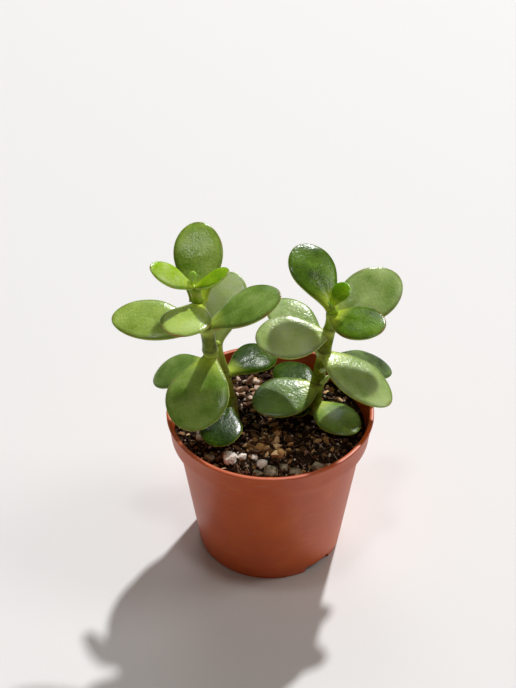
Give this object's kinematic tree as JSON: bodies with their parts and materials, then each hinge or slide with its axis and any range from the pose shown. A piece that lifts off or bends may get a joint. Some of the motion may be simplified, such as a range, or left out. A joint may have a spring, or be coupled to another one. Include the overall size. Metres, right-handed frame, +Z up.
{
  "type": "jade bonsai",
  "caption": "Young jade plant with thick oval leaves on two short fleshy stems, in a round terracotta-coloured plastic nursery pot of dark mix.",
  "frame": {"origin": "centre of the pot's flat underside", "axes": "+Z up along the pot's axis; +X to the right of the front view, from the left-hand stem towards the right-hand one; -Y is the front"},
  "size_m": [0.1231, 0.09, 0.1514],
  "materials": {
    "pot_plastic": "satin",
    "peat_and_bark": "matte",
    "stem_skin": "satin",
    "leaf_skin": "satin",
    "new_growth": "satin",
    "perlite": "matte",
    "pebble": "matte"
  },
  "bodies": {
    "root": {"nursery_pot": "pot_plastic", "potting_mix": "peat_and_bark", "left_stem": "stem_skin", "left_back_stem": "stem_skin", "right_stem": "stem_skin", "left_leaf_upright": "leaf_skin", "left_leaf_upper_front": "leaf_skin", "left_leaf_far_left": "leaf_skin", "left_leaf_far_right": "leaf_skin", "left_leaf_low_front": "leaf_skin", "left_leaf_low_left": "leaf_skin", "left_tip_leaf_left": "new_growth", "left_tip_leaf_right": "new_growth", "left_tip_bud": "new_growth", "back_leaf_top": "leaf_skin", "back_leaf_right": "leaf_skin", "back_leaf_front": "leaf_skin", "right_leaf_upright": "leaf_skin", "right_leaf_far_right": "leaf_skin", "right_leaf_upper_front": "leaf_skin", "right_tip_leaf": "new_growth", "right_tip_bud": "new_growth", "right_leaf_upper_left": "leaf_skin", "right_leaf_upper_back": "leaf_skin", "right_leaf_middle_front": "leaf_skin", "right_leaf_middle_back": "leaf_skin", "right_leaf_lower_left": "leaf_skin", "right_leaf_lower_back": "leaf_skin", "right_leaf_lowest": "leaf_skin", "right_leaf_foot": "leaf_skin", "right_axil_bud_upper": "new_growth", "right_axil_bud_lower": "new_growth", "right_axil_bud_left": "new_growth", "perlite_1": "perlite", "perlite_2": "perlite", "perlite_3": "perlite", "perlite_4": "perlite", "perlite_5": "perlite", "perlite_6": "perlite", "pebble_1": "pebble", "pebble_2": "pebble", "pebble_3": "pebble", "pebble_4": "pebble", "pebble_5": "pebble", "pebble_6": "pebble"}
  },
  "joints": []
}
